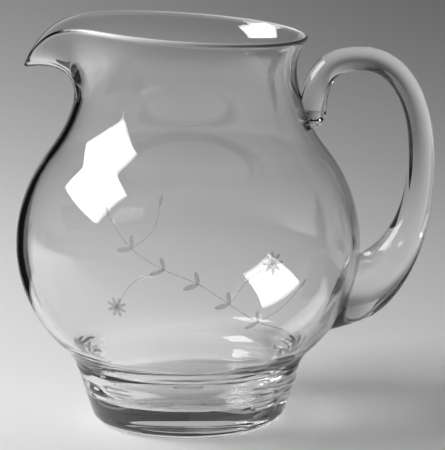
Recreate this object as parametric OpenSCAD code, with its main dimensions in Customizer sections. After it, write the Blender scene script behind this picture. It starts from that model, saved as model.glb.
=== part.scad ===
// Glass cocktail pitcher: a blown body with a heavy base and a pulled pouring lip, and an
// applied handle drawn from one gather of glass.
// Millimetres, +Z up. The origin is the middle of the flat base, on the axis of the body.
// The lip points along -X and the handle along +X.

/* [Body] */
// Radius of the belly at its widest
belly_r = 74; // [66:0.5:82]
// Height of the widest part of the belly
belly_z = 77; // [72:0.5:84]
// Radius of the curve from the belly up to the shoulder
shoulder_arc = 65; // [58:0.5:70]
// Radius of the curve from the belly down to the collar
under_arc = 58; // [54:0.5:62]
// Radius of the neck at its narrowest
neck_r = 47; // [42:0.5:52]
// Height of the narrowest part of the neck
neck_z = 154; // [148:0.5:160]
// Radius of the foot, where the collar meets the flat base
foot_r = 40.5; // [37:0.5:44]
// Lean of the collar, in degrees from upright
collar_lean = 17.5; // [10:0.5:21]
// Radius of the hollow between the collar and the belly
collar_hollow = 18; // [12:0.5:24]
// Rounding of the edge of the foot
foot_edge = 6; // [3:0.1:7.5]

/* [Glass] */
// Thickness of the blown wall, from the belly to the neck
wall = 3; // [2.2:0.1:4]
// Thickness of the solid glass under the cavity
base_t = 13; // [8:0.5:16]
// Radius of the well at the bottom of the cavity
well_r = 36; // [31:0.5:38]
// Lean of the side of the well, in degrees from upright
well_lean = 4; // [0:0.5:8]
// Rounding at the bottom of the well
well_edge = 2; // [1:0.5:6]
// Radius of the curve at the top of the well
well_hollow = 9; // [6:0.5:12]
// Radius of the inside curve below the widest part, which thickens the wall towards the base
under_inside = 54.5; // [51:0.5:56]

/* [Rim and lip] */
// Radius of the rim, measured to the middle of its bead
rim_r = 50; // [47:0.5:54]
// Height of the rim over the axis, to the middle of its bead
rim_z = 169.75; // [165:0.25:174]
// Rise of the rim towards the lip, in degrees
rim_tilt = 4; // [0:0.25:6]
// Thickness of the fire-polished bead of the rim
rim_t = 2.2; // [1.8:0.1:3.5]
// How far the front and back of the rim are drawn in by the pull of the lip
rim_draw = 3.5; // [0:0.5:5]
// Rise of the wall where it ends in the bead, in degrees from level
rim_flare = 54; // [40:1:75]
// Reach of the tip of the lip from the axis
lip_reach = 69.5; // [60:0.5:76]
// How far the tip of the lip droops below the line of the rim
lip_droop = 19.75; // [8:0.25:22]
// Half width of the lip, as an angle about the axis
lip_spread = 11; // [8:0.5:16]
// Half width of the droop of the lip, as an angle about the axis
droop_spread = 7; // [5:0.5:10]
// Slope of the lip at its tip, in degrees from level
lip_slope = -8; // [-15:1:10]
// Height at which the round neck starts to follow the pull of the lip
pull_z = 138; // [134:0.5:142]

/* [Handle] */
// Thickness of the drawn rod
rod_t = 10.4; // [8:0.2:13]
// Width of the handle over its thickness
rod_oval = 1.08; // [0.9:0.02:1.3]
// Clear gap for fingers between the belly and the grip
finger_gap = 20.8; // [16:0.2:30]
// Height of the outermost part of the grip
grip_z = 115; // [108:0.5:122]
// Height of the top of the arch
arch_z = 162.5; // [156:0.5:168]
// Distance from the neck to the top of the arch
arch_out = 26.4; // [22:0.2:32]
// Height of the middle of the pad on the belly
pad_z = 57; // [52:0.5:64]
// Rise of the handle where it leaves the pad, in degrees
pad_rise = 16; // [0:1:30]
// Added thickness of the pad where it meets the belly
pad_swell = 18.8; // [10:0.2:24]
// Length over which the pad thins into the rod
pad_fade = 30; // [22:0.5:36]
// Height of the tip of the upper end, pressed on the neck
tail_z = 127; // [124:0.5:132]
// Added thickness of the upper end where it is pressed on the neck
tail_swell = 2.4; // [0:0.1:4]
// Depth by which the upper end is pressed on to the neck
tail_press = 0.8; // [0.4:0.1:2]

/* [Hidden] */
$fn = 96;
GLASS = [0.86, 0.88, 0.88, 0.45];

// Shape of the pad's taper: 1 is a plain exponential, more holds the thickness for longer
pad_power = 1.3;
// Depth to which the handle runs on inside the belly before it is trimmed to the wall
pad_sink = 16;
// Length of the rounded tip of the upper end
tail_round = 7;
// Height of the straight seat at the top of the round wall, and the depth and play by which the
// foot of the pulled neck laps into it
seat_h = 1.5;
lap = 0.6;
lap_play = 0.2;
// Depth by which a hollow bites into the curves beside it, and the height by which strips of the
// outline overlap, so that neighbours cross cleanly
bite = 0.01;
over = 3;
// Steps round the neck, and the share of them that stays even; the rest crowd towards the lip
NECK_STEPS = 96;
NECK_EVEN = 0.5;
// Steps of the neck on each side of the handle that the handle is trimmed to
BACK_STEPS = 6;
// Steps up a side of the neck, over the bead, along each stretch of the handle and round it
SIDE_STEPS = 11;
BEAD_STEPS = 6;
HANDLE_STEPS = 15;
HANDLE_SIDES = 20;

shoulder_x = belly_r - shoulder_arc;
under_x = belly_r - under_arc;
// Radius of the hollow of the neck that meets the shoulder curve smoothly
neck_arc = let (a = neck_r - shoulder_x, h = neck_z - belly_z)
    (a * a + h * h - shoulder_arc * shoulder_arc) / (2 * (shoulder_arc - a));
neck_x = neck_r + neck_arc;
neck_angle = atan2(neck_z - belly_z, neck_x - shoulder_x);

rod_r = rod_t / 2;
grip_x = belly_r + finger_gap + rod_r;
arch_x = neck_r + arch_out;
tail_r = rod_r + tail_swell / 2;
tail_x = neck_r + tail_r - tail_press;

// Outer radius of the belly below its widest part, and of the neck above the shoulder
function under_r(z) = under_x + sqrt(under_arc * under_arc - (belly_z - z) * (belly_z - z));
function neck_wall_r(z, arc) = neck_x - sqrt(arc * arc - (neck_z - z) * (neck_z - z));

// Where the curve from a leaning side to the lower belly has its middle: it lies at its own
// radius from the side, and at the sum of both radii from the middle of the belly's curve
function hollow_mid(r0, z0, lean, hollow, mid_x, arc) =
    let (side = [sin(lean), cos(lean)],
         away = [cos(lean), -sin(lean)],
         start = [r0, z0] + hollow * away,
         gap = start - [mid_x, belly_z],
         along = gap * side,
         rest = gap * gap - (arc + hollow) * (arc + hollow))
    start + (-along - sqrt(along * along - rest)) * side;

// Outline of a vessel, from its flat bottom to the pulled part of the neck, as stacked strips
module vessel(r0, z0, lean, edge, hollow, low_x, low_arc, high_x, high_arc, throat_arc, top_z) {
    side = [sin(lean), cos(lean)];
    away = [cos(lean), -sin(lean)];
    mid = hollow_mid(r0, z0, lean, hollow, low_x, low_arc);
    side_end = mid - hollow * away;
    side_top = side_end + over * side;
    low_end = [low_x, belly_z] + (mid - [low_x, belly_z]) * low_arc / (low_arc + hollow);
    high_end = [high_x, belly_z] + high_arc * [cos(neck_angle), sin(neck_angle)];
    edge_mid = [r0 - edge * (1 - sin(lean)) / cos(lean), z0 + edge];
    reach = belly_r + 1;

    // Leaning side, with its rounded lower edge
    polygon([[0, z0], [edge_mid.x, z0], edge_mid + edge * away, side_top, [0, side_top.y]]);
    translate(edge_mid) circle(edge);
    // Hollow between the side and the lower belly
    difference() {
        polygon([[0, side_end.y], side_end, low_end, [0, low_end.y]]);
        translate(mid) circle(hollow + bite);
    }
    // Belly below its widest part, filled in to the axis, and above it
    intersection() {
        translate([low_x, belly_z]) circle(low_arc);
        translate([0, low_end.y - over]) square([reach, belly_z - low_end.y + over]);
    }
    translate([0, low_end.y - over]) square([low_x, belly_z - low_end.y + over]);
    intersection() {
        translate([high_x, belly_z]) circle(high_arc);
        translate([0, belly_z]) square([reach, high_end.y - belly_z + over]);
    }
    // Hollow of the neck, with a straight seat at its top for the pulled part
    seat_top = [neck_wall_r(top_z, throat_arc), top_z];
    seat_end = [neck_wall_r(top_z - seat_h, throat_arc + bite), top_z - seat_h];
    seat_low = seat_end + over / seat_h * (seat_end - seat_top);
    difference() {
        polygon([[0, high_end.y], high_end, (seat_end + seat_top) / 2, [0, top_z - seat_h / 2]]);
        translate([neck_x, neck_z]) circle(throat_arc + bite);
    }
    polygon([[0, seat_low.y], seat_low, seat_top, [0, top_z]]);
}

module outside_outline() {
    vessel(foot_r, 0, collar_lean, foot_edge, collar_hollow,
           under_x, under_arc, shoulder_x, shoulder_arc, neck_arc, pull_z);
}

module cavity_outline() {
    vessel(well_r, base_t, well_lean, well_edge, well_hollow,
           belly_r - wall - under_inside, under_inside,
           shoulder_x, shoulder_arc - wall, neck_arc + wall, pull_z);
}

// Bell-shaped pull, 1 at the lip and fading to 0 on both sides of it
function pull(angle, spread) = 2 / (exp(angle / spread) + exp(-angle / spread));
// Angle from the lip of each step round the neck, crowded near the lip
function lip_angle(k) = let (u = 2 * k / NECK_STEPS - 1)
    180 * (NECK_EVEN * u + (1 - NECK_EVEN) * u * u * u);
function mix(a, b, t) = a + (b - a) * t;
function bezier(p, t) = let (s = 1 - t)
    s * s * s * p[0] + 3 * s * s * t * p[1] + 3 * s * t * t * p[2] + t * t * t * p[3];
function bezier_way(p, t) = let (s = 1 - t,
    way = s * s * (p[1] - p[0]) + 2 * s * t * (p[2] - p[1]) + t * t * (p[3] - p[2])) way / norm(way);

// Middle of the rim's bead, as radius and height, at an angle from the lip
function bead_r(angle) = rim_r - rim_draw * pow(sin(angle), 2)
    + (lip_reach - rim_t / 2 - rim_r) * pull(angle, lip_spread);
function bead_z(angle) = rim_z + tan(rim_tilt) * bead_r(angle) * cos(angle)
    - lip_droop * pull(angle, droop_spread);
function bead_mid(angle) = [bead_r(angle), bead_z(angle)];
function bead_slope(angle) = mix(rim_flare, lip_slope, pull(angle, lip_spread));

// One side of the neck, from the round wall at pull_z to one side of the bead
function neck_side(angle, arc, face) =
    let (turn = asin((neck_z - pull_z) / arc),
         slope = bead_slope(angle),
         share = pull(angle, lip_spread),
         start = [neck_wall_r(pull_z, arc), pull_z],
         end = bead_mid(angle) + face * rim_t / 2 * [sin(slope), -cos(slope)],
         rise = (rim_z - pull_z) / 3)
    [start, start + rise * [-sin(turn), cos(turn)],
     end - rise * mix(1.05, 1.55, share) * [cos(slope), sin(slope)], end];

// Outline of the pulled neck's wall at an angle from the lip: up the outside, over the bead and
// down the inside, with a foot that laps into the wall below
function neck_section(angle) =
    let (outside = neck_side(angle, neck_arc, 1),
         inside = neck_side(angle, neck_arc + wall, -1),
         slope = bead_slope(angle),
         outer_foot = [outside[0].x - lap_play, pull_z],
         lean = tan(asin((neck_z - pull_z) / (neck_arc + wall))),
         clear = inside[0].x / cos(180 * (3 - 2 * NECK_EVEN) / NECK_STEPS) + lap_play,
         inner_foot = [clear + lean * lap, pull_z - lap])
    concat(
        [outer_foot - [0, lap], outer_foot],
        [for (i = [1 : SIDE_STEPS]) bezier(outside, i / SIDE_STEPS)],
        [for (i = [1 : BEAD_STEPS - 1]) let (a = slope - 90 + 180 * i / BEAD_STEPS)
            bead_mid(angle) + rim_t / 2 * [cos(a), sin(a)]],
        [for (i = [SIDE_STEPS : -1 : 1]) bezier(inside, i / SIDE_STEPS)],
        [[clear, pull_z], inner_foot]);

// A point of a section turned to its angle from the lip
function about_axis(p, angle) = [-p.x * cos(angle), -p.x * sin(angle), p.y];

// Skin of triangles over rings of points; the rings close on themselves, and so does the row of
// rings where it is a loop, and otherwise its two ends are capped
function skin(rings, loop) =
    let (n = len(rings), m = len(rings[0]), last = loop ? n : n - 1)
    concat(
        [for (k = [0 : last - 1], i = [0 : m - 1])
            let (a = k * m + i, b = k * m + (i + 1) % m, c = ((k + 1) % n) * m)
            each [[a, b, c + i], [b, c + (i + 1) % m, c + i]]],
        loop ? [] : [[for (i = [m - 1 : -1 : 0]) i], [for (i = [0 : m - 1]) (n - 1) * m + i]]);

module skinned(rings, loop = false) {
    polyhedron([for (ring = rings) each ring], skin(rings, loop), convexity = 8);
}

module pulled_neck() {
    skinned([for (k = [0 : NECK_STEPS - 1])
        [for (p = neck_section(lip_angle(k))) about_axis(p, lip_angle(k))]], loop = true);
}

// The part of the pulled neck that the handle is pressed on, filled in to the axis
module neck_back() {
    skinned([for (i = [0 : SIDE_STEPS + 1])
        concat([[0, 0, neck_section(180)[i].y]],
               [for (k = [BACK_STEPS : -1 : -BACK_STEPS])
                   let (angle = lip_angle((k + NECK_STEPS) % NECK_STEPS))
                   about_axis(neck_section(angle)[i], angle)])]);
}

// Middle line of the handle, as radius and height: out of the belly to the grip, over the arch,
// and down on to the neck
PAD = [under_r(pad_z), pad_z];
GRIP = [grip_x, grip_z];
ARCH = [arch_x, arch_z - rod_r];
TAIL = [tail_x, tail_z];
pad_way = [cos(pad_rise), sin(pad_rise)];
HANDLE_CURVES = [
    [PAD, PAD + 12 * pad_way, [GRIP.x, mix(PAD.y, GRIP.y, 0.34)], GRIP],
    [GRIP, [GRIP.x, mix(GRIP.y, ARCH.y, 0.48)], [mix(GRIP.x, ARCH.x, 0.28), ARCH.y], ARCH],
    [ARCH, [mix(ARCH.x, TAIL.x, 0.55), ARCH.y], [TAIL.x, mix(ARCH.y, TAIL.y, 0.14)], TAIL]];

// Points and directions along the middle line, after the straight run inside the belly
handle_points = concat(
    [PAD - pad_sink * pad_way],
    [for (c = HANDLE_CURVES, i = [0 : HANDLE_STEPS - 1]) bezier(c, i / HANDLE_STEPS)],
    [TAIL]);
handle_ways = concat(
    [pad_way],
    [for (c = HANDLE_CURVES, i = [0 : HANDLE_STEPS - 1]) bezier_way(c, i / HANDLE_STEPS)],
    [[0, -1]]);
function path_length(points, i) = i == 0 ? 0 : path_length(points, i - 1) + norm(points[i] - points[i - 1]);

// Half thickness of the handle at a run from the belly's wall: the pad's swell fades into the
// rod, and the pressed end swells a little and then rounds off
function handle_half(run, left) =
    let (swell = pad_swell / 2 * exp(-pow(max(run, 0) / pad_fade, pad_power)),
         press = tail_swell / 2 * exp(-pow(left / (3 * tail_round), 2)),
         tip = left < tail_round ? sqrt(1 - pow(1 - left / tail_round, 2)) : 1)
    (rod_r + swell + press) * max(tip, 0.05);

function handle_ring(point, way, half) =
    [for (j = [0 : HANDLE_SIDES - 1]) let (a = 360 * j / HANDLE_SIDES)
        [point.x - way.y * half * cos(a), rod_oval * half * sin(a), point.y + way.x * half * cos(a)]];

module handle_sweep() {
    count = len(handle_points);
    whole = path_length(handle_points, count - 1);
    skinned([for (i = [0 : count - 1])
        let (run = path_length(handle_points, i))
        handle_ring(handle_points[i], handle_ways[i], handle_half(run - pad_sink, whole - run))]);
}

module body() {
    color(GLASS) {
        rotate_extrude() difference() {
            outside_outline();
            cavity_outline();
        }
        pulled_neck();
    }
}

module handle() {
    color(GLASS) difference() {
        handle_sweep();
        rotate_extrude() outside_outline();
        neck_back();
    }
}

body();
handle();
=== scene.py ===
import math

import bpy
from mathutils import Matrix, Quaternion, Vector, noise


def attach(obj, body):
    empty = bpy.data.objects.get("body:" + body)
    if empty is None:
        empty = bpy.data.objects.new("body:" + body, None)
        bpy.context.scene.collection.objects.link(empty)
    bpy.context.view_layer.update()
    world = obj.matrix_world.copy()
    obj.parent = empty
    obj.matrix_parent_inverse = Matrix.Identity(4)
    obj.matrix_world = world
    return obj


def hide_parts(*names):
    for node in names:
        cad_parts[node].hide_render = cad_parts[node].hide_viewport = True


# Looks of the glass pitcher: a blown body, an applied handle and a cut sprig of flowers.
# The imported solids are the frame. Metres, +Z up, lip along -X and handle along +X.

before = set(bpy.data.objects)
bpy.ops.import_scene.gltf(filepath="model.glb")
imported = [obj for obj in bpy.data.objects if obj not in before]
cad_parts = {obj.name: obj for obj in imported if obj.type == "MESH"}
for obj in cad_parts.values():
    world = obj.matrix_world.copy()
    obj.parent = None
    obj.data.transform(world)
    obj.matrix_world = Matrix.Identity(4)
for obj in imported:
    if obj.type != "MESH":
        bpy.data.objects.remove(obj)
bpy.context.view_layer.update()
bpy.ops.object.select_all(action="DESELECT")

MM = 0.001

# Sizes of the body, in millimetres, as in the part's source
BELLY_R = 74.0
BELLY_Z = 77.0
SHOULDER_ARC = 65.0
UNDER_ARC = 58.0
NECK_R = 47.0
NECK_Z = 154.0
FOOT_R = 40.5
COLLAR_LEAN = 17.5
COLLAR_HOLLOW = 18.0
FOOT_EDGE = 6.0
WALL = 3.0
BASE_T = 13.0
WELL_R = 36.0
WELL_LEAN = 4.0
WELL_EDGE = 2.0
WELL_HOLLOW = 9.0
UNDER_INSIDE = 54.5
RIM_R = 50.0
RIM_Z = 169.75
RIM_TILT = 4.0
RIM_T = 2.2
RIM_DRAW = 3.5
RIM_FLARE = 54.0
LIP_REACH = 69.5
LIP_DROOP = 19.75
LIP_SPREAD = 11.0
DROOP_SPREAD = 7.0
LIP_SLOPE = -8.0
PULL_Z = 138.0

# Sizes of the handle
ROD_R = 5.2
ROD_OVAL = 1.08
FINGER_GAP = 20.8
GRIP_Z = 115.0
ARCH_Z = 162.5
ARCH_OUT = 26.4
PAD_Z = 57.0
PAD_RISE = 16.0
PAD_SWELL = 18.8
PAD_FADE = 30.0
PAD_POWER = 1.3
PAD_SINK = 16.0
TAIL_Z = 127.0
TAIL_SWELL = 2.4
TAIL_PRESS = 0.8
TAIL_ROUND = 7.0
TIP_LEAST = 0.05

# Mark of the tool that pressed the tail on to the neck: its place from the tip, its width and its depth
CRIMP_RUN = 5.2
CRIMP_WIDE = 0.8
CRIMP_DEPTH = 0.24

# How far the handle's line runs straight out of the pad, and how its turns are shared out
PAD_LEAD = 12.0
GRIP_LOW = 0.34
GRIP_HIGH = 0.48
ARCH_SIDE = 0.28
ARCH_IN = 0.55
TAIL_BEND = 0.14

# Gap between the handle and the wall that it sits on
SEAT_GAP = 0.02

# Ease of the neck's curve into the bead, at the rim and at the lip
RIM_EASE = 1.05
LIP_EASE = 1.55

# The polished mark under the base and the rise of the well's floor
PONTIL_R = 7.0
PONTIL_DEPTH = 1.0
WELL_RISE = 0.6

# Marks of the tool round the collar: the heights between which they lie, their depth on the left and on
# the right, and how far aside of the axis they start and how soon they are whole
MARK_FOOT = 9.0
MARK_TOP = 40.0
MARK_LEFT = 0.6
MARK_RIGHT = 1.1
MARK_START = 18.0
MARK_FADE = 14.0

# Share of that depth at the sides and at the back, and the run towards the back over which it falls by one
MARK_SIDE = 0.8
MARK_BACK = 0.2
MARK_TURN = 30.0

# Cells of the marks to a metre, level and upright
MARK_LEVEL = 60
MARK_UPRIGHT = 600

# How finely the surfaces are drawn
STEP = 1.7
MARK_STEP = 0.6
TURN_STEPS = 256
TRIM_STEPS = 180
EVEN_SHARE = 0.5
NECK_RUN = 22
BEAD_RUN = 10
PONTIL_STEPS = 6
WELL_STEPS = 18
HANDLE_STEPS = (24, 24, 72)
ROD_FINE = 12
LEAF_SIDES = 16
SMOOTH_ANGLE = 35

# How near two points of the outline count as one spot, and a point as on a ring
SAME_SPOT = 0.01
SAME_RING = 0.05

SHOULDER_X = BELLY_R - SHOULDER_ARC
UNDER_X = BELLY_R - UNDER_ARC
NECK_GAP = NECK_R - SHOULDER_X
NECK_RISE = NECK_Z - BELLY_Z
NECK_ARC = (NECK_GAP ** 2 + NECK_RISE ** 2 - SHOULDER_ARC ** 2) / (2 * (SHOULDER_ARC - NECK_GAP))
NECK_X = NECK_R + NECK_ARC
NECK_ANGLE = math.atan2(NECK_RISE, NECK_X - SHOULDER_X)


def mix(a, b, t):
    return a + (b - a) * t


def along(angle):
    return Vector((math.cos(angle), math.sin(angle)))


def bezier(p, t):
    s = 1 - t
    return s ** 3 * p[0] + 3 * s * s * t * p[1] + 3 * s * t * t * p[2] + t ** 3 * p[3]


# Outline of the body as radius and height

def arc(mid, radius, start, end, step=STEP):
    count = max(3, round(abs(end - start) * radius / step))
    return [mid + radius * along(mix(start, end, i / count)) for i in range(count + 1)]


def line(start, end, step=STEP):
    count = max(1, round((end - start).length / step))
    return [start.lerp(end, i / count) for i in range(count + 1)]


def joined(*runs):
    """Runs of points as one, without the points that meet."""
    points = []
    for run in runs:
        points += run if not points or (points[-1] - run[0]).length > SAME_SPOT else run[1:]
    return points


def neck_wall_r(z, radius):
    return NECK_X - math.sqrt(radius ** 2 - (NECK_Z - z) ** 2)


def vessel(r0, z0, lean, edge, hollow, low_x, low_arc, high_arc, throat_arc, step=STEP):
    """Side of a round vessel from its lower edge up to the pulled part of the neck."""
    lean = math.radians(lean)
    side = Vector((math.sin(lean), math.cos(lean)))
    away = Vector((math.cos(lean), -math.sin(lean)))
    low_mid = Vector((low_x, BELLY_Z))
    start = Vector((r0, z0)) + hollow * away
    gap = start - low_mid
    reach = gap.dot(side)
    rest = gap.dot(gap) - (low_arc + hollow) ** 2
    mid = start + (-reach - math.sqrt(reach ** 2 - rest)) * side
    edge_mid = Vector((r0 - edge * (1 - math.sin(lean)) / math.cos(lean), z0 + edge))
    to_mid = mid - low_mid
    low_angle = math.atan2(to_mid.y, to_mid.x)
    throat = math.asin((NECK_Z - PULL_Z) / throat_arc)
    return joined(
        arc(edge_mid, edge, -math.pi / 2, -lean),
        line(edge_mid + edge * away, mid - hollow * away, step),
        arc(mid, hollow, math.pi - lean, math.pi + low_angle, step),
        arc(low_mid, low_arc, low_angle, 0),
        arc(Vector((SHOULDER_X, BELLY_Z)), high_arc, 0, NECK_ANGLE),
        arc(Vector((NECK_X, NECK_Z)), throat_arc, math.pi + NECK_ANGLE, math.pi + throat))


def outer_side(step=STEP):
    return vessel(FOOT_R, 0, COLLAR_LEAN, FOOT_EDGE, COLLAR_HOLLOW, UNDER_X,
                  UNDER_ARC, SHOULDER_ARC, NECK_ARC, step)


def inner_side():
    return vessel(WELL_R, BASE_T, WELL_LEAN, WELL_EDGE, WELL_HOLLOW, BELLY_R - WALL - UNDER_INSIDE,
                  UNDER_INSIDE, SHOULDER_ARC - WALL, NECK_ARC + WALL)


# Pull of the lip, by the angle from the lip in degrees

def pull(angle, spread):
    """Share of the pull: whole at the lip, and fading to either side."""
    return 1 / math.cosh(angle / spread)


def bead_mid(angle):
    turn_by = math.radians(angle)
    reach = LIP_REACH - RIM_T / 2 - RIM_R
    r = RIM_R - RIM_DRAW * math.sin(turn_by) ** 2 + reach * pull(angle, LIP_SPREAD)
    rise = math.tan(math.radians(RIM_TILT)) * r * math.cos(turn_by)
    return Vector((r, RIM_Z + rise - LIP_DROOP * pull(angle, DROOP_SPREAD)))


def bead_slope(angle):
    return math.radians(mix(RIM_FLARE, LIP_SLOPE, pull(angle, LIP_SPREAD)))


def neck_side(angle, throat_arc, face):
    """Curve of the neck from the round wall to the bead: the outside with 1, the inside with -1."""
    turn_by = math.asin((NECK_Z - PULL_Z) / throat_arc)
    slope = bead_slope(angle)
    start = Vector((neck_wall_r(PULL_Z, throat_arc), PULL_Z))
    end = bead_mid(angle) + face * RIM_T / 2 * Vector((math.sin(slope), -math.cos(slope)))
    rise = (RIM_Z - PULL_Z) / 3
    leave = start + rise * Vector((-math.sin(turn_by), math.cos(turn_by)))
    pull_back = rise * mix(RIM_EASE, LIP_EASE, pull(angle, LIP_SPREAD))
    return [start, leave, end - pull_back * along(slope), end]


def neck_section(angle):
    """Wall of the neck at an angle from the lip: up the outside, over the bead and down the inside."""
    outside = neck_side(angle, NECK_ARC, 1)
    inside = neck_side(angle, NECK_ARC + WALL, -1)
    mid = bead_mid(angle)
    first = bead_slope(angle) - math.pi / 2
    up = [bezier(outside, i / NECK_RUN) for i in range(1, NECK_RUN + 1)]
    over = [mid + RIM_T / 2 * along(first + math.pi * i / BEAD_RUN) for i in range(1, BEAD_RUN)]
    down = [bezier(inside, i / NECK_RUN) for i in range(NECK_RUN, 0, -1)]
    return up + over + down


# Mesh tools

def in_edit(select="SELECT", mode="VERT"):
    bpy.ops.object.mode_set(mode="EDIT")
    bpy.ops.mesh.select_mode(type=mode)
    bpy.ops.mesh.select_all(action=select)


def to_object():
    bpy.ops.object.mode_set(mode="OBJECT")


def pick(obj):
    bpy.ops.object.select_all(action="DESELECT")
    obj.select_set(True)
    bpy.context.view_layer.objects.active = obj


def settle(obj):
    """Leaves the piece at the origin, unturned and unscaled."""
    pick(obj)
    bpy.ops.object.transform_apply(location=True, rotation=True, scale=True)


def draw_outline(name, points):
    """A chain of edges through points of radius and height, drawn on the lip's side of the axis."""
    spots = [Vector((-p.x, 0, p.y)) * MM for p in points]
    bpy.ops.mesh.primitive_plane_add(size=MM, location=spots[0])
    obj = bpy.context.object
    obj.name = name
    in_edit()
    bpy.ops.mesh.merge(type="CENTER")
    for last, spot in zip(spots, spots[1:]):
        bpy.ops.mesh.extrude_vertices_move(TRANSFORM_OT_translate={"value": spot - last})
    to_object()
    settle(obj)
    return obj


def turn(obj, steps):
    """The outline turned once round the axis and closed."""
    in_edit()
    bpy.ops.mesh.spin(steps=steps, angle=2 * math.pi, center=(0, 0, 0), axis=(0, 0, 1))
    bpy.ops.mesh.select_all(action="SELECT")
    bpy.ops.mesh.remove_doubles(threshold=2e-6)
    bpy.ops.mesh.normals_make_consistent(inside=False)
    to_object()


def apply_modifier(obj, kind, name, **settings):
    modifier = obj.modifiers.new(name, kind)
    for key, value in settings.items():
        setattr(modifier, key, value)
    pick(obj)
    bpy.ops.object.modifier_apply(modifier=modifier.name)


# Camera, at the photograph's angle

CAMERA_PITCH = 11.3
CAMERA_RANGE = 1.35
CAMERA_AIM = Vector((0.0148, 0.0, 0.085))
LENS = 251.2
SENSOR = 36

bpy.ops.object.camera_add()
camera = bpy.context.object
camera.name = "camera"
camera.data.sensor_fit = "AUTO"
camera.data.sensor_width = SENSOR
camera.data.lens = LENS
camera.rotation_euler = (math.radians(90 - CAMERA_PITCH), 0, 0)
pitch = math.radians(CAMERA_PITCH)
camera.location = CAMERA_AIM + CAMERA_RANGE * Vector((0, -math.cos(pitch), math.sin(pitch)))
bpy.context.scene.camera = camera
bpy.context.scene.view_settings.view_transform = "Standard"


# Tools for materials

def node_material(name):
    material = bpy.data.materials.new(name)
    material.use_nodes = True
    nodes = material.node_tree.nodes
    return material, nodes, material.node_tree.links, nodes["Principled BSDF"]


def add_node(nodes, kind, **settings):
    node = nodes.new(kind)
    for key, value in settings.items():
        setattr(node, key, value)
    return node


def mapped(nodes, links, value, start, end, low=0.0, high=1.0, **settings):
    """A value led from one range to another."""
    node = add_node(nodes, "ShaderNodeMapRange", **settings)
    node.inputs["From Min"].default_value = start
    node.inputs["From Max"].default_value = end
    node.inputs["To Min"].default_value = low
    node.inputs["To Max"].default_value = high
    links.new(value, node.inputs["Value"])
    return node.outputs["Result"]


def place(nodes):
    """The spot on the piece itself."""
    return add_node(nodes, "ShaderNodeTexCoord").outputs["Object"]


def by_axes(nodes, links, spot):
    axes = add_node(nodes, "ShaderNodeSeparateXYZ")
    links.new(spot, axes.inputs["Vector"])
    return axes.outputs


def grain(nodes, links, spot, scale, detail=2.0):
    """Soft noise over the piece."""
    node = add_node(nodes, "ShaderNodeTexNoise")
    node.inputs["Scale"].default_value = scale
    node.inputs["Detail"].default_value = detail
    links.new(spot, node.inputs["Vector"])
    return node.outputs["Fac"]


def one_sided(nodes, links, shader, on_back=False):
    """Shows the shader on the front alone, or on the back alone."""
    shown, hidden = (2, 1) if on_back else (1, 2)
    side = add_node(nodes, "ShaderNodeNewGeometry")
    nothing = add_node(nodes, "ShaderNodeBsdfTransparent")
    either = add_node(nodes, "ShaderNodeMixShader")
    links.new(side.outputs["Backfacing"], either.inputs["Fac"])
    links.new(shader.outputs["BSDF"], either.inputs[shown])
    links.new(nothing.outputs["BSDF"], either.inputs[hidden])
    links.new(either.outputs["Shader"], nodes["Material Output"].inputs["Surface"])


# Floor of pale paper with painted shade. Its greys go by the distance behind the pitcher's axis and fall
# off to the right, in place of the falloff of the light.

PAPER_FRONT = -0.9
PAPER_BACK = 2.0
# Greys of the paper by the distance behind the axis, with painted shade in them
PAPER_GREYS_AND_PAINTED_SHADE = [(-0.8, 0.1), (-0.22, 0.18), (-0.075, 0.72), (0.05, 0.8), (0.35, 0.82), (0.5, 0.8),
               (0.7, 0.68), (0.91, 0.53), (1.0, 0.52), (1.2, 0.62), (1.9, 0.68)]
# Painted shade to the right: how much it darkens the paper with the distance behind the axis, and how far
# aside it reaches
PAPER_SLANT = -1.1
PAPER_SLANT_DEPTH = 0.9
PAPER_WIDE = 0.22


def floor_paper():
    """Pale paper with painted shade, which darkens it a little towards the back and to the right, seen from
    its front alone.
    """
    material, nodes, links, shader = node_material("floor_paper")
    axes = by_axes(nodes, links, place(nodes))
    # Painted shade: the paper's grey by the distance behind the axis
    greys_and_shade = add_node(nodes, "ShaderNodeValToRGB")
    stops = greys_and_shade.color_ramp.elements
    while len(stops) < len(PAPER_GREYS_AND_PAINTED_SHADE):
        stops.new(0.5)
    for stop, (y, grey) in zip(stops, PAPER_GREYS_AND_PAINTED_SHADE):
        stop.position = (y - PAPER_FRONT) / (PAPER_BACK - PAPER_FRONT)
        stop.color = (grey, grey, grey, 1)
    links.new(mapped(nodes, links, axes["Y"], PAPER_FRONT, PAPER_BACK), greys_and_shade.inputs["Fac"])
    # Painted shade that darkens the paper to the right, more so further back
    far = mapped(nodes, links, axes["Y"], 0.0, PAPER_SLANT_DEPTH, 0.0, PAPER_SLANT, clamp=False)
    across = add_node(nodes, "ShaderNodeClamp")
    across.inputs["Min"].default_value = -PAPER_WIDE
    across.inputs["Max"].default_value = PAPER_WIDE
    links.new(axes["X"], across.inputs["Value"])
    slant = add_node(nodes, "ShaderNodeMath", operation="MULTIPLY_ADD")
    slant.inputs[2].default_value = 1
    links.new(across.outputs["Result"], slant.inputs[0])
    links.new(far, slant.inputs[1])
    shade = add_node(nodes, "ShaderNodeMix", data_type="RGBA", blend_type="MULTIPLY")
    shade.inputs["Factor"].default_value = 1
    links.new(greys_and_shade.outputs["Color"], shade.inputs[6])
    links.new(slant.outputs["Value"], shade.inputs[7])
    links.new(shade.outputs[2], shader.inputs["Base Color"])
    shader.inputs["Roughness"].default_value = 0.9
    shader.inputs["Specular IOR Level"].default_value = 0.1
    one_sided(nodes, links, shader)
    return material


# The paper lies flat and then sweeps up behind
FLOOR_MID = (0.4, -0.8, -0.0002)
FLOOR_SPAN = (3.6, 2.5, 1)
SWEEP_START = 0.45
SWEEP_R = 1.6
SWEEP_TURN = 70
SWEEP_STEPS = 28
SWEEP_TOP = 1.6


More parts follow.
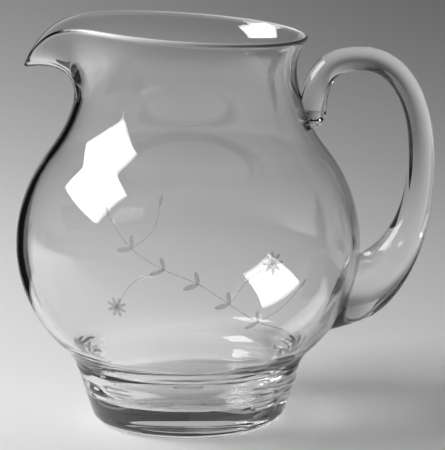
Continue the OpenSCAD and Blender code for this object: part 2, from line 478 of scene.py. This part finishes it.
def make_floor():
    """A flat sheet whose far edge is drawn back and up, step by step."""
    bpy.ops.mesh.primitive_plane_add(size=1, location=FLOOR_MID)
    floor = bpy.context.object
    floor.name = "floor"
    floor.scale = FLOOR_SPAN
    settle(floor)
    in_edit("DESELECT", "EDGE")
    to_object()
    for edge in floor.data.edges:
        edge.select = all(floor.data.vertices[i].co.y > SWEEP_START - MM for i in edge.vertices)
    bpy.ops.object.mode_set(mode="EDIT")
    last = Vector((SWEEP_START, 0))
    for i in range(1, SWEEP_STEPS + 1):
        turn_by = math.radians(SWEEP_TURN * i / SWEEP_STEPS)
        spot = Vector((SWEEP_START + SWEEP_R * math.sin(turn_by), SWEEP_R * (1 - math.cos(turn_by))))
        bpy.ops.mesh.extrude_edges_move(TRANSFORM_OT_translate={"value": (0, *(spot - last))})
        last = spot
    bpy.ops.mesh.extrude_edges_move(TRANSFORM_OT_translate={"value": (0, 0, SWEEP_TOP - last.y)})
    to_object()
    pick(floor)
    bpy.ops.object.shade_smooth()
    floor.data.materials.append(floor_paper())


make_floor()


# Cards beside and behind the pitcher, seen in the glass alone, for its dark lines and pale forms

CARD_BLACK = (0.01, 0.01, 0.01, 1)


def card(name, low, high, glow=0.0, glow_right=None, cover=1.0, from_below=False):
    """A card between two corners, black or lit from left to right, whole or thin.

    It is seen from both sides, or from below alone.
    """
    low = Vector(low)
    high = Vector(high)
    span = high - low
    bpy.ops.mesh.primitive_plane_add(size=1, rotation=(math.atan2(span.z, span.y), 0, 0))
    sheet = bpy.context.object
    sheet.name = name
    sheet.scale = (span.x, math.hypot(span.y, span.z), 1)
    sheet.location = (low + high) / 2
    settle(sheet)
    material, nodes, links, shader = node_material(name)
    shader.inputs["Base Color"].default_value = CARD_BLACK
    shader.inputs["Emission Color"].default_value = (1, 1, 1, 1)
    shader.inputs["Emission Strength"].default_value = glow
    shader.inputs["Roughness"].default_value = 1.0
    shader.inputs["Specular IOR Level"].default_value = 0.0
    shader.inputs["Alpha"].default_value = cover
    if glow_right is not None:
        axes = by_axes(nodes, links, place(nodes))
        across = mapped(nodes, links, axes["X"], low.x, high.x, glow, glow_right)
        links.new(across, shader.inputs["Emission Strength"])
    if from_below:
        one_sided(nodes, links, shader, on_back=True)
    sheet.data.materials.append(material)
    sheet.visible_camera = False
    sheet.visible_diffuse = False
    sheet.visible_shadow = False


# Dark and dim cards, which draw the edges of the body and the handle
card("card_belly", (-0.25, 0.12, 0.0), (-0.103, 0.12, 0.115))
card("card_neck", (-0.25, 0.12, 0.115), (-0.088, 0.12, 0.3))
card("card_lip", (-0.058, 0.022, 0.1465), (-0.0452, 0.022, 0.1525))
card("card_right", (0.25, 0.25, 0.0), (1.5, 0.25, 0.5))
card("card_far_right", (0.22, 0.6, 0.04), (0.8, 0.6, 0.25), glow=0.17)
card("card_grip", (0.161, -0.06, 0.0005), (0.8, 0.118, 0.0005))
card("card_shade", (-0.6, 0.36, 0.0008), (-0.175, 0.52, 0.0008), cover=0.35)

# Cards behind the base, for the dark band of the foot and the pale lens in it
card("card_base_left", (-0.08, 0.088, 0.0125), (-0.002, 0.25, 0.0125), glow=0.05, from_below=True)
card("card_base_right", (-0.002, 0.044, 0.0125), (0.08, 0.25, 0.0125), glow=0.03, from_below=True)
card("card_base_pale", (-0.05, 0.0445, 0.0046), (0.05, 0.13, 0.0098), glow=0.42, from_below=True)

# High cards, whose light falls off to the right in the shoulder
card("card_high", (-0.6, 1.25, 0.24), (0.04, 1.25, 2.6), glow=0.52, glow_right=0.2)
card("card_high_right", (0.04, 1.25, 0.24), (0.44, 1.25, 1.25), glow=0.2, glow_right=0.0)

# Lamp: one large softbox, high on the left

SOFTBOX_AIM = Vector((-0.03, -0.05, 0.11))
SOFTBOX_RANGE = 1.0
SOFTBOX_AZIMUTH = math.radians(89.4)
SOFTBOX_HEIGHT = math.radians(35.7)
SOFTBOX_ROLL = math.radians(-7.3)
SOFTBOX_SHIFT = Vector((0.04, 0.03, 0))
SOFTBOX_WIDE = 0.76
SOFTBOX_TALL = 0.52
SOFTBOX_WATTS = 15.4

bpy.ops.object.light_add(type="AREA")
softbox = bpy.context.object
softbox.name = "softbox"
softbox.data.shape = "RECTANGLE"
softbox.data.size = SOFTBOX_WIDE
softbox.data.size_y = SOFTBOX_TALL
softbox.data.energy = SOFTBOX_WATTS
way = Vector((-math.sin(SOFTBOX_AZIMUTH) * math.cos(SOFTBOX_HEIGHT),
              -math.cos(SOFTBOX_AZIMUTH) * math.cos(SOFTBOX_HEIGHT), math.sin(SOFTBOX_HEIGHT)))
facing = way.to_track_quat("Z", "Y") @ Quaternion((0, 0, 1), SOFTBOX_ROLL)
softbox.location = SOFTBOX_AIM + SOFTBOX_RANGE * way + facing @ SOFTBOX_SHIFT
softbox.rotation_euler = facing.to_euler()

# The rest of the room is nearly dark
ROOM_GREY = (0.02, 0.02, 0.02, 1)

world = bpy.data.worlds.new("studio")
bpy.context.scene.world = world
world.use_nodes = True
world.node_tree.nodes["Background"].inputs["Color"].default_value = ROOM_GREY
world.node_tree.nodes["Background"].inputs["Strength"].default_value = 1.0


# Finishes

GLASS_IOR = 1.5
GLASS_CLEAR = 0.993
ROD_CLEAR = 0.9
LIGHT_PASSED = (0.55, 0.55, 0.55, 1)

# Heights of the ripples in the two glasses
BODY_RIPPLE = 0.0002
ROD_RIPPLE = 0.0003
RIPPLE_SCALE = 60
RIPPLE_SHARE = 0.1


def clear_glass(name, ripple, clear):
    """Clear blown glass with faint ripples. Light from the lamps passes through it to what is behind."""
    material, nodes, links, shader = node_material(name)
    shader.inputs["Base Color"].default_value = (clear - 0.003, clear + 0.002, clear, 1)
    shader.inputs["Roughness"].default_value = 0.0
    shader.inputs["IOR"].default_value = GLASS_IOR
    shader.inputs["Transmission Weight"].default_value = 1.0
    bump = add_node(nodes, "ShaderNodeBump")
    bump.inputs["Strength"].default_value = RIPPLE_SHARE
    bump.inputs["Distance"].default_value = ripple
    links.new(grain(nodes, links, place(nodes), RIPPLE_SCALE, 1), bump.inputs["Height"])
    links.new(bump.outputs["Normal"], shader.inputs["Normal"])
    lamp_ray = add_node(nodes, "ShaderNodeLightPath")
    passing = add_node(nodes, "ShaderNodeBsdfTransparent")
    passing.inputs["Color"].default_value = LIGHT_PASSED
    either = add_node(nodes, "ShaderNodeMixShader")
    links.new(lamp_ray.outputs["Is Shadow Ray"], either.inputs["Fac"])
    links.new(shader.outputs["BSDF"], either.inputs[1])
    links.new(passing.outputs["BSDF"], either.inputs[2])
    links.new(either.outputs["Shader"], nodes["Material Output"].inputs["Surface"])
    return material


# Where the bead turns clear towards the lip, how clear it is in front and behind, and how pale its painted
# light makes it, in place of the light that the wall leads up to it
BEAD_LIP = (-0.055, -0.035)
BEAD_MIDDLE = (-0.01, 0.01)
BEAD_FRONT = 0.15
BEAD_BEHIND = 0.5
BEAD_PAINTED_LIGHT_SCALE = 40
BEAD_PAINTED_LIGHT = (0.85, 0.95)


def bead_glass(name):
    """Fire-polished edge, with painted light: a pale white in place of the light that the wall leads up to
    it.

    The painted light is palest in front, and the bead is clear at the lip.
    """
    material, nodes, links, shader = node_material(name)
    shader.inputs["Roughness"].default_value = 0.02
    shader.inputs["IOR"].default_value = GLASS_IOR
    spot = place(nodes)
    axes = by_axes(nodes, links, spot)
    smooth = {"interpolation_type": "SMOOTHSTEP"}
    lip = mapped(nodes, links, axes["X"], *BEAD_LIP, 1.0, 0.0, **smooth)
    behind = mapped(nodes, links, axes["Y"], *BEAD_MIDDLE, BEAD_FRONT, BEAD_BEHIND, **smooth)
    share = add_node(nodes, "ShaderNodeMath", operation="MAXIMUM")
    links.new(lip, share.inputs[0])
    links.new(behind, share.inputs[1])
    links.new(share.outputs["Value"], shader.inputs["Transmission Weight"])
    # Painted light: the bead's pale white, mottled a little
    pale = mapped(nodes, links, grain(nodes, links, spot, BEAD_PAINTED_LIGHT_SCALE), 0.0, 1.0, *BEAD_PAINTED_LIGHT)
    links.new(pale, shader.inputs["Base Color"])
    return material


body_finish = clear_glass("clear_blown_glass", BODY_RIPPLE, GLASS_CLEAR)
# The bead's glass, with painted light in place of the light that the wall leads up to it
bead_glass_and_painted_light = bead_glass("fire_polished_glass_and_painted_light")
handle_finish = clear_glass("clear_drawn_glass", ROD_RIPPLE, ROD_CLEAR)


# Body: an outline turned on the axis, then the lip pulled out of the rim and the collar marked

def make_body():
    pontil = [Vector((PONTIL_R * i / PONTIL_STEPS, PONTIL_DEPTH * (1 - (i / PONTIL_STEPS) ** 2)))
              for i in range(PONTIL_STEPS + 1)]
    outer = outer_side(MARK_STEP)
    inner = inner_side()
    floor_r = inner[0].x
    well = [Vector((floor_r * i / WELL_STEPS, BASE_T + WELL_RISE * (1 - (i / WELL_STEPS) ** 2) ** 2))
            for i in range(WELL_STEPS, -1, -1)]
    neck = neck_section(180)
    points = joined(pontil, line(pontil[-1], outer[0]), outer, neck, inner[::-1], well)
    body = draw_outline("body_glass", points)
    turn(body, TURN_STEPS)
    for face in body.data.polygons:
        spot = Vector((math.hypot(face.center.x, face.center.y), face.center.z)) / MM
        face.material_index = int((spot - bead_mid(180)).length < RIM_T / 2)
    pull_lip(body, neck)
    mark_collar(body, outer)
    return body


def pull_lip(body, neck):
    """Crowds the steps towards the lip, and moves the neck's rings to their pulled sections."""
    sections = {}
    for vertex in body.data.vertices:
        r = math.hypot(vertex.co.x, vertex.co.y) / MM
        z = vertex.co.z / MM
        if r < SAME_SPOT:
            continue
        share = math.atan2(-vertex.co.y, -vertex.co.x) / math.pi
        angle = 180 * mix(share ** 3, share, EVEN_SHARE)
        spot = Vector((r, z))
        if z > PULL_Z + SAME_SPOT:
            ring = min(range(len(neck)), key=lambda i: (neck[i] - spot).length_squared)
            key = round(angle, 4)
            if key not in sections:
                sections[key] = neck_section(angle)
            spot = sections[key][ring]
        turn_by = math.radians(angle)
        vertex.co = Vector((-spot.x * math.cos(turn_by), -spot.x * math.sin(turn_by), spot.y)) * MM


def mark_collar(body, outer):
    """Presses the marks of the tool into the outside of the collar: at its sides, and most in front."""
    rings = [p for p in outer if MARK_FOOT < p.y < MARK_TOP]
    for vertex in body.data.vertices:
        at = vertex.co
        spot = Vector((math.hypot(at.x, at.y), at.z)) / MM
        aside = (abs(at.x) / MM - MARK_START) / MARK_FADE
        if aside <= 0 or not MARK_FOOT < spot.y < MARK_TOP:
            continue
        if min((spot - p).length for p in rings) > SAME_RING:
            continue
        fade = min(aside, 1) * math.sin(math.pi * (spot.y - MARK_FOOT) / (MARK_TOP - MARK_FOOT))
        wave = noise.noise(Vector((at.x * MARK_LEVEL, at.y * MARK_LEVEL, at.z * MARK_UPRIGHT)))
        depth = MARK_LEFT if at.x < 0 else MARK_RIGHT
        front = min(max(MARK_SIDE - at.y / MM / MARK_TURN, MARK_BACK), 1)
        wider = 1 + depth * front * fade * wave / spot.x
        vertex.co = (at.x * wider, at.y * wider, at.z)


body = make_body()
pick(body)
bpy.ops.object.shade_smooth()
body.data.materials.append(body_finish)
body.data.materials.append(bead_glass_and_painted_light)
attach(body, "root")
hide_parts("body")


# Handle: a drawn rod on a curve, thick where it was set on the belly, trimmed to the wall

def handle_half(run, left):
    """Half the thickness of the handle, by the run from the pad and the run left to the tip."""
    swell = PAD_SWELL / 2 * math.exp(-(max(run, 0) / PAD_FADE) ** PAD_POWER)
    press = TAIL_SWELL / 2 * math.exp(-(left / (3 * TAIL_ROUND)) ** 2)
    tip = math.sqrt(1 - (1 - left / TAIL_ROUND) ** 2) if left < TAIL_ROUND else 1
    crimp = 1 - CRIMP_DEPTH * math.exp(-((left - CRIMP_RUN) / CRIMP_WIDE) ** 2)
    return (ROD_R + swell + press) * max(tip, TIP_LEAST) * crimp


def handle_line():
    """Points of the handle's middle, as radius and height: from inside the pad over the arch to the tip."""
    under_r = UNDER_X + math.sqrt(UNDER_ARC ** 2 - (BELLY_Z - PAD_Z) ** 2)
    pad = Vector((under_r, PAD_Z))
    grip = Vector((BELLY_R + FINGER_GAP + ROD_R, GRIP_Z))
    arch = Vector((NECK_R + ARCH_OUT, ARCH_Z - ROD_R))
    tail = Vector((NECK_R + ROD_R + TAIL_SWELL / 2 - TAIL_PRESS, TAIL_Z))
    rise = along(math.radians(PAD_RISE))
    low_grip = Vector((grip.x, mix(pad.y, grip.y, GRIP_LOW)))
    high_grip = Vector((grip.x, mix(grip.y, arch.y, GRIP_HIGH)))
    outer_arch = Vector((mix(grip.x, arch.x, ARCH_SIDE), arch.y))
    inner_arch = Vector((mix(arch.x, tail.x, ARCH_IN), arch.y))
    high_tail = Vector((tail.x, mix(arch.y, tail.y, TAIL_BEND)))
    curves = [[pad, pad + PAD_LEAD * rise, low_grip, grip],
              [grip, high_grip, outer_arch, arch],
              [arch, inner_arch, high_tail, tail]]
    points = [pad - PAD_SINK * rise, pad - PAD_SINK / 2 * rise]
    points += [bezier(c, i / n) for c, n in zip(curves, HANDLE_STEPS) for i in range(n)]
    return points + [tail]


def make_handle():
    """A curve with its thickness at each point, made into a mesh, flattened a little and trimmed."""
    points = handle_line()
    runs = [0.0]
    for last, point in zip(points, points[1:]):
        runs.append(runs[-1] + (point - last).length)
    bpy.ops.curve.primitive_bezier_curve_add()
    handle = bpy.context.object
    handle.name = "handle_glass"
    rod = handle.data
    rod.dimensions = "3D"
    rod.twist_mode = "MINIMUM"
    rod.bevel_depth = ROD_R * MM
    rod.bevel_resolution = ROD_FINE
    rod.use_fill_caps = True
    spline = rod.splines[0]
    spline.resolution_u = 2
    spline.bezier_points.add(len(points) - 2)
    for spot, point, run in zip(spline.bezier_points, points, runs):
        spot.co = Vector((point.x, 0, point.y)) * MM
        spot.radius = handle_half(run - PAD_SINK, runs[-1] - run) / ROD_R
        spot.handle_left_type = "AUTO"
        spot.handle_right_type = "AUTO"
    pick(handle)
    bpy.ops.object.convert(target="MESH")
    handle = bpy.context.object
    in_edit()
    bpy.ops.mesh.remove_doubles(threshold=1e-6)
    bpy.ops.transform.resize(value=(1, ROD_OVAL, 1), center_override=(0, 0, 0))
    bpy.ops.mesh.normals_make_consistent(inside=False)
    to_object()
    settle(handle)
    trim_to_wall(handle)
    return handle


def trim_to_wall(handle):
    """Cuts the handle's two ends to the outside of the body."""
    outer = [Vector((p.x + SEAT_GAP, p.y)) for p in outer_side() + neck_section(180)[:NECK_RUN]]
    points = joined([Vector((0, outer[0].y))], outer, [Vector((0, outer[-1].y))])
    filled = draw_outline("trim", points)
    turn(filled, TRIM_STEPS)
    apply_modifier(handle, "BOOLEAN", "trim", operation="DIFFERENCE", object=filled, solver="EXACT")
    pick(filled)
    bpy.ops.object.delete()


handle = make_handle()
pick(handle)
bpy.ops.object.shade_smooth_by_angle(angle=math.radians(SMOOTH_ANGLE))
handle.data.materials.clear()
handle.data.materials.append(handle_finish)
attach(handle, "root")
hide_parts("handle")


# Fine cut sprig on the front of the belly, drawn flat by arc length and height and then laid on the glass

SPRIG_LIFT = 0.04
SPRIG_FLAT = 0.1
STEM_HALF = 0.2
LEAF_THICK = 0.3
LEAF_SHAPE = 0.34
LEAF_SPREAD = 48
LEAF_LENGTHS = (6.5, 5.5)
PETALS = 8
MAIN_STEM = [(46, 52), (32, 57), (18, 66), (5, 75), (-9, 81), (-23, 89), (-35, 101)]
SIDE_STEMS = [[(18, 66), (26, 76), (37, 82)], [(-9, 81), (-22, 75), (-30, 64)],
              [(-23, 89), (-14, 97), (-12, 106)], [(32, 57), (42, 62), (51, 70)]]

# Each flower and bud by its stem's end, the angle that it starts at and the length of its petals
FLOWERS = [(SIDE_STEMS[0][-1], 0, 5), (SIDE_STEMS[1][-1], 20, 4.5)]
BUDS = [(SIDE_STEMS[2][-1], 80, 4.5), (SIDE_STEMS[3][-1], 45, 4.5), (MAIN_STEM[-1], 130, 5)]


def sprig_stem(points):
    bpy.ops.curve.primitive_bezier_curve_add()
    stem = bpy.context.object
    stem.data.bevel_depth = STEM_HALF
    stem.data.bevel_resolution = 1
    stem.data.resolution_u = 8
    stem.data.use_fill_caps = True
    spline = stem.data.splines[0]
    spline.bezier_points.add(len(points) - 2)
    for spot, (u, v) in zip(spline.bezier_points, points):
        spot.co = (u, v, 0)
        spot.handle_left_type = "AUTO"
        spot.handle_right_type = "AUTO"
    pick(stem)
    bpy.ops.object.convert(target="MESH")
    return bpy.context.object


def sprig_leaf():
    """One thin leaf with its foot at the origin, along +X."""
    bpy.ops.mesh.primitive_circle_add(vertices=LEAF_SIDES, radius=0.5, fill_type="TRIFAN",
                                      location=(0.5, 0, 0))
    leaf = bpy.context.object
    leaf.scale = (1, LEAF_SHAPE, 1)
    settle(leaf)
    in_edit()
    bpy.ops.mesh.extrude_region_move(TRANSFORM_OT_translate={"value": (0, 0, LEAF_THICK)})
    bpy.ops.mesh.select_all(action="SELECT")
    bpy.ops.mesh.normals_make_consistent(inside=False)
    to_object()
    return leaf


def sprig_copy(shape, at, angle, length):
    copy = shape.copy()
    copy.data = shape.data.copy()
    bpy.context.collection.objects.link(copy)
    copy.location = (at[0], at[1], 0)
    copy.rotation_euler = (0, 0, math.radians(angle))
    copy.scale = (length, length, 1)
    return copy


def belly_r(z):
    if z > BELLY_Z:
        return SHOULDER_X + math.sqrt(SHOULDER_ARC ** 2 - (z - BELLY_Z) ** 2)
    return UNDER_X + math.sqrt(UNDER_ARC ** 2 - (BELLY_Z - z) ** 2)


def make_sprig():
    """Stems, leaves and flowers joined flat, then wrapped round the belly."""
    parts = [sprig_stem(points) for points in [MAIN_STEM] + SIDE_STEMS]
    leaf = sprig_leaf()
    for before, at, after in zip(MAIN_STEM, MAIN_STEM[1:], MAIN_STEM[2:]):
        way = math.degrees(math.atan2(after[1] - before[1], after[0] - before[0]))
        for side, length in zip((LEAF_SPREAD, -LEAF_SPREAD), LEAF_LENGTHS):
            parts.append(sprig_copy(leaf, at, way + side, length))
    for at, start, length in FLOWERS:
        parts += [sprig_copy(leaf, at, start + 360 / PETALS * i, length) for i in range(PETALS)]
    parts += [sprig_copy(leaf, *bud) for bud in BUDS]
    bpy.data.objects.remove(leaf)
    bpy.ops.object.select_all(action="DESELECT")
    for part in parts:
        part.select_set(True)
    bpy.context.view_layer.objects.active = parts[0]
    bpy.ops.object.join()
    sprig = bpy.context.object
    sprig.name = "cut_sprig"
    settle(sprig)
    for vertex in sprig.data.vertices:
        u, v, w = vertex.co
        r = belly_r(v) + SPRIG_LIFT + SPRIG_FLAT * w
        turn_by = u / BELLY_R
        vertex.co = Vector((r * math.sin(turn_by), -r * math.cos(turn_by), v)) * MM
    return sprig


# How dense and how grey the cuts are, from their thinnest to their thickest
CUT_GRAIN = 400
CUT_VEIL = (0.1, 0.3)
CUT_GREY = (0.2, 0.3)


def cut_glass(name):
    """Fine unpolished cuts: a thin grey veil on the glass."""
    material, nodes, links, shader = node_material(name)
    shader.inputs["Roughness"].default_value = 0.7
    shader.inputs["Specular IOR Level"].default_value = 0.2
    cuts = grain(nodes, links, place(nodes), CUT_GRAIN)
    links.new(mapped(nodes, links, cuts, 0.0, 1.0, *CUT_VEIL), shader.inputs["Alpha"])
    links.new(mapped(nodes, links, cuts, 0.0, 1.0, *CUT_GREY), shader.inputs["Base Color"])
    return material


sprig = make_sprig()
sprig.data.materials.append(cut_glass("cut_glass"))
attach(sprig, "root")
